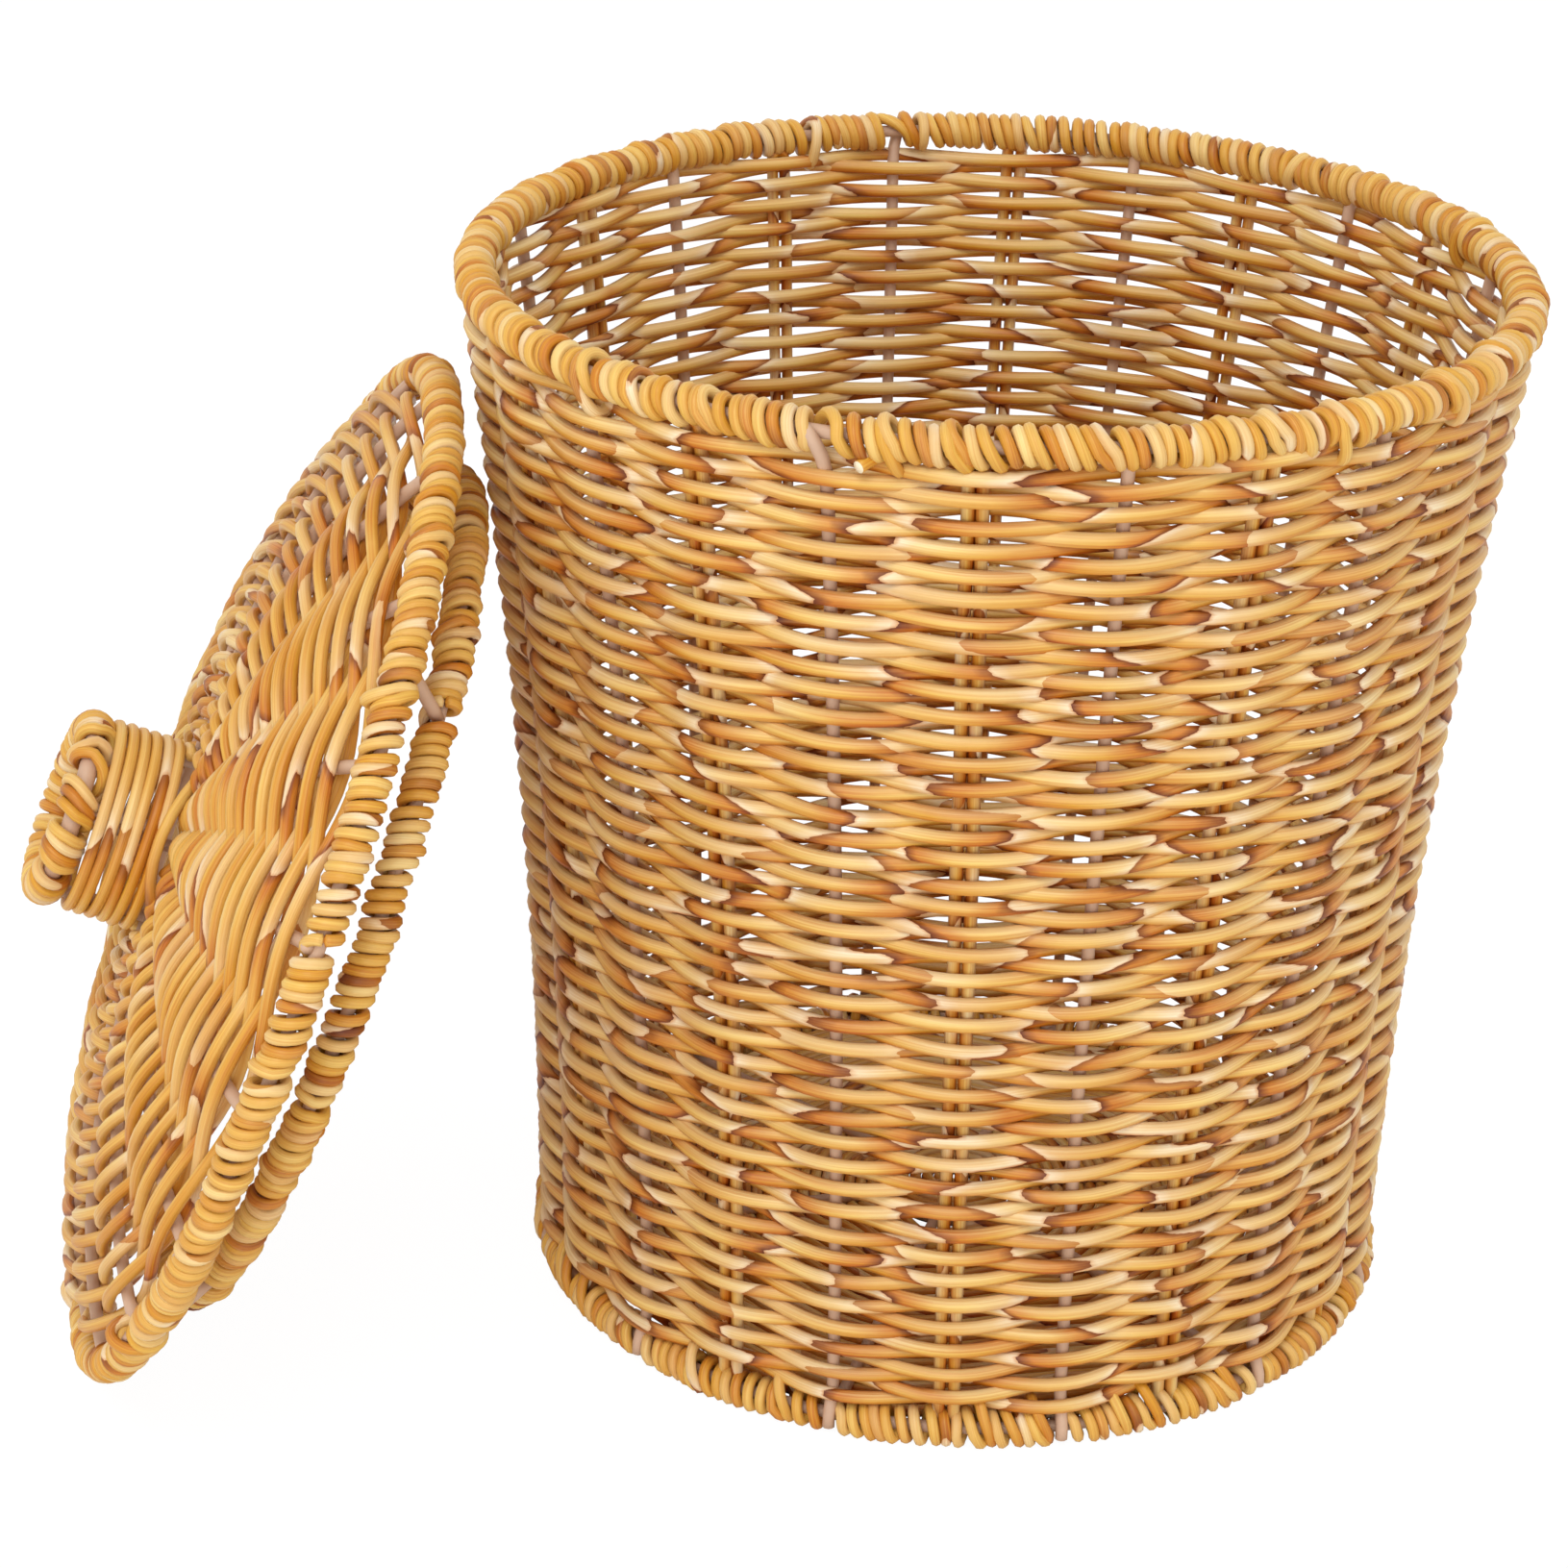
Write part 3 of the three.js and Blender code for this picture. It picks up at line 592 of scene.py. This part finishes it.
def winding(radius, openings, cane, slack, lean, ties, tie_reach, seed, turned=0.0, steps=24):
    """Places of a cane wound round a hoop: angle along the hoop, offset outward and offset up.
    Ties is the share of longer turns, tie_reach how far they go up or, if below 0, down, and
    turned how much the lean changes from one side of the hoop to the other."""
    tie_shift, tie_ride = 0.0024, 0.0014
    slipped_share, slip_shift, slip_ride = 0.09, 0.0026, 0.0014
    loose_ride, own_ride, own_rise = 0.0003, 0.0002, 0.00045
    uneven, closest, widest = 0.24, 0.78, 1.7
    wide_gap, jump_rate, cross_start, cross_share = 1.4, 1.6, 0.42, 0.5
    sway_lean, own_lean, tie_out = 0.45, 0.35, 0.1
    draw = np.random.default_rng(seed)
    reach = wire_radius + cane + slack
    pitch = 2 * cane
    turns = []
    openings = sorted((angle % (2 * math.pi), width) for angle, width in openings)
    spans = zip(openings, openings[1:] + [(openings[0][0] + 2 * math.pi, openings[0][1])])
    for (here, width), (there, next_width) in spans:
        start = here + (width / 2 + cane) / radius
        end = there - (next_width / 2 + cane) / radius
        count = max(2, round((end - start) * radius / pitch))
        spacing = np.cumsum(np.clip(1 + uneven * draw.normal(size=count), closest, widest))
        spacing = (spacing - spacing[0]) / (spacing[-1] - spacing[0])
        turns.extend(start + (end - start) * spacing)
    turns.append(turns[0] + 2 * math.pi)
    turns = np.array(turns)
    total = len(turns) - 1
    tied = draw.random(total) < ties
    at = np.arange(total * steps) / steps
    low = at.astype(int)
    part = at - low
    room = (turns[low + 1] - turns[low]) * radius / pitch
    jump = np.clip((room - wide_gap) * jump_rate, 0, 1)
    late = eased(np.clip((part - cross_start) / cross_share, 0, 1))
    place = turns[low] + (turns[low + 1] - turns[low]) * (part * (1 - jump) + late * jump)
    phase = 2 * math.pi * part
    each = np.arange(total + 1)
    knots = np.linspace(0, total, max(4, total // 4))
    sway = np.interp(at, knots, draw.normal(size=len(knots)))
    own = np.interp(at, each, draw.normal(size=total + 1))
    lean = lean * (1 - turned * (1 + np.sin(place)) + sway_lean * sway + own_lean * own)
    place = place + lean * np.sin(phase) / radius
    place = place + tie_shift * tied[low] * np.sin(phase) / radius
    slipped = (draw.random(total) < slipped_share) * draw.uniform(-1, 1, total)
    place = place + slip_shift * slipped[low] * np.sin(phase) / radius
    loose = np.interp(at, each, np.abs(draw.normal(size=total + 1)))
    far_side = np.sin(phase / 2) ** 2
    ride = reach + loose_ride * loose + own_ride * own + tie_ride * tied[low] * far_side
    ride = ride + slip_ride * np.abs(slipped[low]) * far_side
    out = ride * np.cos(phase)
    rise = np.interp(at, each, draw.normal(size=total + 1))
    up = -ride * np.sin(phase) + own_rise * rise
    bound = np.where(up * tie_reach > 0, tied[low], 0)
    return place, out * (1 + tie_out * bound), up * (1 + bound * abs(tie_reach) / reach)


thin_cane = 0.0018
rim_cane = 0.0019
foot_openings = [(stake_angle(i) + stake_twist(0), 0.0052) for i in range(1, stake_count, 2)]
rim_openings = [(stake_angle(i), 0.0056) for i in shown_heads]
rim_openings += [(stake_angle(5) + 0.1, 0.0018), (stake_angle(21), 0.0016)]
for name, node, radius, height, openings, cane, slack, ties, tie_reach, seed, turned in (
    ("wound_base", "base_wrap", foot_radius, foot_height, foot_openings, thin_cane, 0.0008,
     0.10, 0.0036, 5, 0.0),
    ("wound_rim", "rim_wrap", rim_radius, rim_height, rim_openings, rim_cane, 0.0003,
     0.05, -0.0040, 8, 0.75),
):
    place, out, up = winding(radius, openings, cane, slack, 0.0009, ties, tie_reach, seed, turned)
    line = np.maximum(height + up, cane + 0.0001)
    path = around_axis(radius + out, place, line)
    centre = around_axis(radius, place, height)
    swept_cane = swept(path, cane, 8, path - centre)
    measure(swept_cane, random.uniform(0, 50))
    piece = cane_piece(name, [swept_cane])
    dress(piece, wound_cane, "basket", "wrapped_cane", node)

# Cut end of the rim's cane
# One cane of the winding ends in front, just under the hoop. It points outward and a little
# down, and shows its pale cut face.
cut_cane, shader = new_finish("cut_cane")
coordinates = cut_cane.node_tree.nodes.new("ShaderNodeTexCoord")
grain = Shade(coordinates.outputs["Object"]).noise(900, 2)
pale = grain.mixed(sRGB(232, 210, 166), sRGB(253, 243, 220))
cut_cane.node_tree.links.new(pale.socket, shader.inputs["Base Color"])
shader.inputs["Roughness"].default_value = 0.6
cut_angle = math.radians(-102.2)
cut_length = 0.0090
cut_start = rim_radius - 0.003
cut_sweep = 0.034
cut_drop = 0.0050
cut_fall = 0.0016
cut_colours = 31.0
cut_share = np.linspace(0, 1, 9)
cut_path = around_axis(
    cut_start + cut_length * cut_share, cut_angle + cut_sweep * (1 - cut_share),
    rim_height - cut_drop - cut_fall * cut_share ** 2,
)
cut_stub = swept(cut_path, rim_cane, 12, (0, 0, 1), 0.0)
measure(cut_stub, cut_colours)
rim_end = cane_piece("rim_cane_end", [cut_stub])
dress(rim_end, wound_cane, "basket", "wrapped_cane", "rim_wrap")
face_step = (cut_path[-1] - cut_path[-2]) * 0.25
face_path = [cut_path[-1] - face_step * 0.4, cut_path[-1] + face_step * 0.3]
face_radius = rim_cane - 0.00005
rim_face = cane_piece("rim_cane_cut", [swept(face_path, face_radius, 12, (0, 0, 1), 0.1)])
dress(rim_face, cut_cane, "basket", "wrapped_cane", "rim_wrap")

# Steel frame of the lid
# The lid's hoop, its nineteen curved ribs and the hub ring they start from, all of the same
# coated wire. A smaller hoop hangs below on four struts and drops into the basket's mouth.
ring_low, ring_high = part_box("lid_ring")
lid_centre = (ring_low + ring_high) / 2
lid_out = Vector(frame["joints"][0]["axis"]).normalized()
lid_level = Vector((0, 0, 1)).cross(lid_out).normalized()
lid_rise = lid_out.cross(lid_level)
lid_turn = Matrix((lid_level, lid_rise, lid_out)).transposed()
lid_pose = lid_turn.to_euler()
lid_radius = 0.161
dome_height = 0.027
dome_power = 3.4
rib_count = 19
rib_turn = math.radians(-1)
rib_head_rise = 0.0032
knob_radius = 0.025
locating_radius = 0.1326
locating_drop = 0.0187
strut_count = 4
strut_turn = math.radians(48.5)


def on_lid(points):
    """From the lid's own directions, with the knob up, to its place against the basket."""
    return np.asarray(points) @ np.array(lid_turn).T + np.array(lid_centre)


def lid_place(radius, angle, height):
    """Points round the lid's axis."""
    radius, angle, height = np.broadcast_arrays(radius, angle, height)
    return on_lid(np.stack([radius * np.cos(angle), radius * np.sin(angle), height], axis=-1))


def dome_line(radius):
    return dome_height * (1 - (radius / lid_radius) ** dome_power)


def rib_angle(index):
    return rib_turn + 2 * math.pi * index / rib_count


def strut_angle(index):
    return strut_turn + 2 * math.pi * index / strut_count


lid_ring = add_hoop("steel_lid_ring", lid_radius, lid_centre, lid_pose, wire_radius)
dress(lid_ring, coated_steel, "lid", "coated_steel", "lid_ring")
hub_place = lid_centre + lid_out * dome_line(knob_radius)
lid_hub = add_hoop("steel_lid_hub", knob_radius, hub_place, lid_pose, wire_radius, 48)
dress(lid_hub, coated_steel, "lid", "coated_steel", "lid_hub_ring")
locating_place = lid_centre - lid_out * locating_drop
locating_ring = add_hoop(
    "steel_locating_ring", locating_radius, locating_place, lid_pose, wire_radius
)
dress(locating_ring, coated_steel, "lid", "coated_steel", "locating_ring")
rib_start, rib_end = knob_radius + 0.001, lid_radius + 0.0012
radii = rib_start + (rib_end - rib_start) * np.sin(np.linspace(0, math.pi / 2, 22))
head_share = np.clip((radii / lid_radius - 0.985) / 0.015, 0, 1)
heights = dome_line(np.minimum(radii, lid_radius)) + rib_head_rise * head_share
ribs = []
for index in range(rib_count):
    path = lid_place(radii, rib_angle(index), heights)
    ribs.append(swept(path, wire_radius, 10, lid_out))
lid_ribs = cane_piece("steel_lid_ribs", ribs)
dress(lid_ribs, coated_steel, "lid", "coated_steel", *[f"lid_rib_{i:02d}" for i in range(1, 20)])
shares = np.linspace(0, 1, 6)
strut_start, strut_drop = lid_radius - 0.0022, 0.0014
radii = strut_start + (locating_radius - strut_start) * shares
heights = -strut_drop - (locating_drop - strut_drop) * shares
struts = []
for index in range(strut_count):
    path = lid_place(radii, strut_angle(index), heights)
    struts.append(swept(path, wire_radius, 10, lid_out))
lid_struts = cane_piece("steel_lid_struts", struts)
dress(lid_struts, coated_steel, "lid", "coated_steel", "locating_ring")

# Woven dome
# One cane goes round and round the nineteen ribs from the knob to the hoop, over one rib and
# under the next, so that each row lies the other way about from the last.
# The last number sets a weaker painted highlight on top of these canes and painted shade below them
lid_cane = cane_finish("lid_cane", 0.075, 9.0, 0.85, painted_shading=0.25)
dome_swing = 0.0038
dome_waver = 0.00018
dome_inner = knob_radius + 0.0055
dome_outer = lid_radius - 0.0082
dome_rows = 31.5
points_per_rib = 8
steps = int(dome_rows * rib_count * points_per_rib) + 1
turn = np.linspace(0, dome_rows, steps)
radius = dome_inner + (dome_outer - dome_inner) * (turn / dome_rows)
angle = rib_turn + 2 * math.pi * turn
radius = radius + wobble(steps, 9, dome_waver)
wave = np.cos(math.pi * turn * rib_count)
slope = dome_height * dome_power * (radius / lid_radius) ** (dome_power - 1) / lid_radius
lift = dome_swing * wave * np.interp(radius, (0.02, 0.06), (0.76, 1))
tilt = np.arctan(slope)
path = lid_place(radius + lift * np.sin(tilt), angle, dome_line(radius) + lift * np.cos(tilt))
thickness = cane_radius * (1 + wobble(steps, 14, thickness_waver))
cane = swept(path, thickness, 8, lid_out)
measure(cane, random.uniform(0, 50))
lid_weave = cane_piece("woven_lid", [cane])
dress(lid_weave, lid_cane, "lid", "woven_cane", "lid_weave")

# Wound hoops of the lid
# Both hoops are wound as the basket's are. The upper one hides all but a few rib ends, and the
# lower one opens at its four struts.
aged_cane = cane_finish("aged_cane", 0.120, 27.0, 1.0, 3.5)
shown_ribs = (1, 6, 10, 15)
rib_openings = [(rib_angle(i), 0.0034) for i in shown_ribs]
strut_openings = [(strut_angle(i), 0.0042) for i in range(strut_count)]
lowest_middle = thin_cane + 0.0001
for name, node, finish, radius, height, openings, lean, ties, seed in (
    ("wound_lid_rim", "lid_rim_wrap", wound_cane, lid_radius, 0, rib_openings,
     0.0008, 0.015, 12),
    ("wound_locating_ring", "locating_wrap", aged_cane, locating_radius, -locating_drop,
     strut_openings, 0.0006, 0, 14),
):
    place, out, up = winding(radius, openings, thin_cane, 0.0002, lean, ties, 0.0025, seed)
    path = lid_place(radius + out, place, height + up)
    path[:, 2] = np.maximum(path[:, 2], lowest_middle)
    swept_cane = swept(path, thin_cane, 8, path - lid_place(radius, place, height))
    measure(swept_cane, random.uniform(0, 50))
    piece = cane_piece(name, [swept_cane])
    dress(piece, finish, "lid", "wrapped_cane", node)

# Knob
# A ring of thicker wire stands on four posts above the hub. Cane is wound six times round the
# posts as a neck, with one stray strand beside it, and round the ring in loose, uneven turns
# that let the wire show in two places.
knob_height = 0.0610
knob_slip = 0.0020
knob_wire = 0.0029


def knob_place(radius, angle, height):
    """Points round the knob's own axis, a little below the middle of the leaning lid."""
    return lid_place(radius, angle, height) - np.array(lid_rise) * knob_slip


knob_centre = lid_centre + lid_out * knob_height - lid_rise * knob_slip
knob_ring = add_hoop("steel_knob_ring", knob_radius, knob_centre, lid_pose, knob_wire, 64)
dress(knob_ring, coated_steel, "lid", "coated_steel", "knob_frame")
post_count = 4
post_turn = math.radians(20)
posts = []
for index in range(post_count):
    angle = post_turn + 2 * math.pi * index / post_count
    path = knob_place(knob_radius, angle, np.linspace(dome_line(knob_radius), knob_height, 8))
    posts.append(swept(path, wire_radius, 10, lid_level))
knob_posts = cane_piece("steel_knob_posts", posts)
dress(knob_posts, coated_steel, "lid", "coated_steel", "knob_frame")

neck_radius = knob_radius + wire_radius + thin_cane
neck_turns = 6.25
neck_points = 260
neck_start = 0.0046
neck_pitch = 0.0037
turn = np.linspace(0, neck_turns, neck_points)
height = dome_line(neck_radius) + neck_start + neck_pitch * turn
ripple = wobble(neck_points, 9, 0.0003)
path = knob_place(neck_radius + np.abs(ripple), math.pi * (0.5 + 2 * turn), height + ripple)
neck_canes = [swept(path, thin_cane, 12, path - knob_place(0, 0, height))]

# Each row of the stray strand is an angle in degrees, and a height and radius in millimetres
stray = np.array([
    (74, 27.5, 31.5), (60, 29.6, 32.2), (50, 31.8, 32.8), (37, 34.0, 33.4), (24, 35.2, 33.8),
    (11, 35.0, 33.6), (0, 33.6, 33.2), (-13, 31.0, 32.6), (-24, 28.0, 32.0),
])
mark = np.linspace(0, len(stray) - 1, 33)
angle, height, radius = (np.interp(mark, np.arange(len(stray)), row) for row in stray.T)
path = knob_place(radius * 0.001, np.radians(angle), height * 0.001)
path[1:-1] = (path[:-2] + 2 * path[1:-1] + path[2:]) / 4
neck_canes.append(swept(path, thin_cane, 12, lid_level))
neck = cane_piece("wound_knob_neck", neck_canes)
dress(neck, wound_cane, "lid", "wrapped_cane", "knob_neck_wrap")

# Each loop of the head is an angle in degrees, and a lean and a lift in millimetres
front_loops = [
    (290, 0.3, 0.0), (298, 0.2, 0.1), (306, 0.2, 0.0), (314, 0.3, 0.2), (322, 0.2, 0.0),
    (331, 0.5, 0.1), (346, 0.8, 0.2), (353, 0.6, 0.6), (360, 0.9, 0.1), (367, 0.7, 0.4),
    (381, 1.8, 0.2), (388, 2.4, 0.1), (396, 3.2, 0.6), (421, -0.3, 0.2), (431, -3.2, 1.7),
    (443, 0.2, 0.1), (451, 0.3, 0.0), (459, 0.2, 0.2), (467, 0.1, 0.1),
]
back_loops = [
    (475 + 8.4 * i + random.uniform(-1.5, 1.5), random.uniform(-1.5, 1.5), random.uniform(0, 0.6))
    for i in range(21)
]
loop_angle, loop_lean, loop_lift = np.array(front_loops + back_loops).T
loop_angle = np.radians(loop_angle)
points_per_loop = 20
wide_gap, jump_rate, cross_start, cross_share = 0.17, 12, 0.4, 0.5
at = np.arange((len(loop_angle) - 1) * points_per_loop) / points_per_loop
low = at.astype(int)
part = at - low
gap = loop_angle[low + 1] - loop_angle[low]
jump = np.clip((gap - wide_gap) * jump_rate, 0, 1)
late = eased(np.clip((part - cross_start) / cross_share, 0, 1))
section = 2 * math.pi * part
reach = knob_wire + thin_cane + 0.001 * loop_lift[low] * np.sin(section / 2) ** 2
round_ring = loop_angle[low] + gap * (part * (1 - jump) + late * jump)
round_ring = round_ring + 0.001 * loop_lean[low] * np.sin(section) / knob_radius
path = knob_place(
    knob_radius + reach * np.cos(section), round_ring, knob_height + reach * np.sin(section)
)
cane = swept(path, thin_cane, 12, path - knob_place(knob_radius, round_ring, knob_height))
head = cane_piece("wound_knob_head", [cane])
dress(head, wound_cane, "lid", "wrapped_cane", "knob_head_wrap")

# Floor, lights and background
# A plain pale floor under a soft key light high in front, a weaker one low in front and a pale
# surround. The camera and the sheen on the canes see white behind.
bpy.ops.object.select_all(action="DESELECT")
bpy.ops.mesh.primitive_plane_add(size=12, location=(0, 0, 0))
floor = bpy.context.object
floor.name = "floor"
pale_floor, shader = new_finish("pale_floor")
tree = pale_floor.node_tree
shader.inputs["Base Color"].default_value = (0.9, 0.9, 0.9, 1)
shader.inputs["Roughness"].default_value = 0.9
white = (1, 1, 1, 1)
light_path = tree.nodes.new("ShaderNodeLightPath")
glow = tree.nodes.new("ShaderNodeEmission")
glow.inputs["Color"].default_value = white
glow.inputs["Strength"].default_value = 1.06
mixer = tree.nodes.new("ShaderNodeMixShader")
seen = Shade(light_path.outputs["Is Camera Ray"]) * 0.9
tree.links.new(seen.socket, mixer.inputs[0])
tree.links.new(shader.outputs[0], mixer.inputs[1])
tree.links.new(glow.outputs[0], mixer.inputs[2])
tree.links.new(mixer.outputs[0], tree.nodes["Material Output"].inputs["Surface"])
floor.data.materials.append(pale_floor)


def add_softbox(name, location, size, watts):
    """A square area light that faces the middle of the basket."""
    bpy.ops.object.select_all(action="DESELECT")
    bpy.ops.object.light_add(type="AREA", location=location)
    lamp = bpy.context.object
    lamp.name = name
    lamp.data.size = size
    lamp.data.energy = watts
    aim = Vector((0, 0, 0.15)) - Vector(location)
    lamp.rotation_euler = aim.to_track_quat("-Z", "Y").to_euler()


add_softbox("key_light", (-0.35, -1.75, 2.5), 1.3, 25)
add_softbox("low_light", (-0.2, -2.4, 0.4), 1.4, 12)

world = bpy.data.worlds.new("studio")
bpy.context.scene.world = world
world.use_nodes = True
tree = world.node_tree
surround = tree.nodes["Background"]
surround.inputs["Color"].default_value = white
surround.inputs["Strength"].default_value = 0.9
backdrop = tree.nodes.new("ShaderNodeBackground")
backdrop.inputs["Color"].default_value = white
light_path = tree.nodes.new("ShaderNodeLightPath")
mixer = tree.nodes.new("ShaderNodeMixShader")
glossy = Shade(light_path.outputs["Is Glossy Ray"])
seen = Shade(light_path.outputs["Is Camera Ray"]).maths("MAXIMUM", glossy)
tree.links.new(seen.socket, mixer.inputs[0])
tree.links.new(surround.outputs[0], mixer.inputs[1])
tree.links.new(backdrop.outputs[0], mixer.inputs[2])
tree.links.new(mixer.outputs[0], tree.nodes["World Output"].inputs["Surface"])
bpy.context.scene.view_settings.view_transform = "Standard"
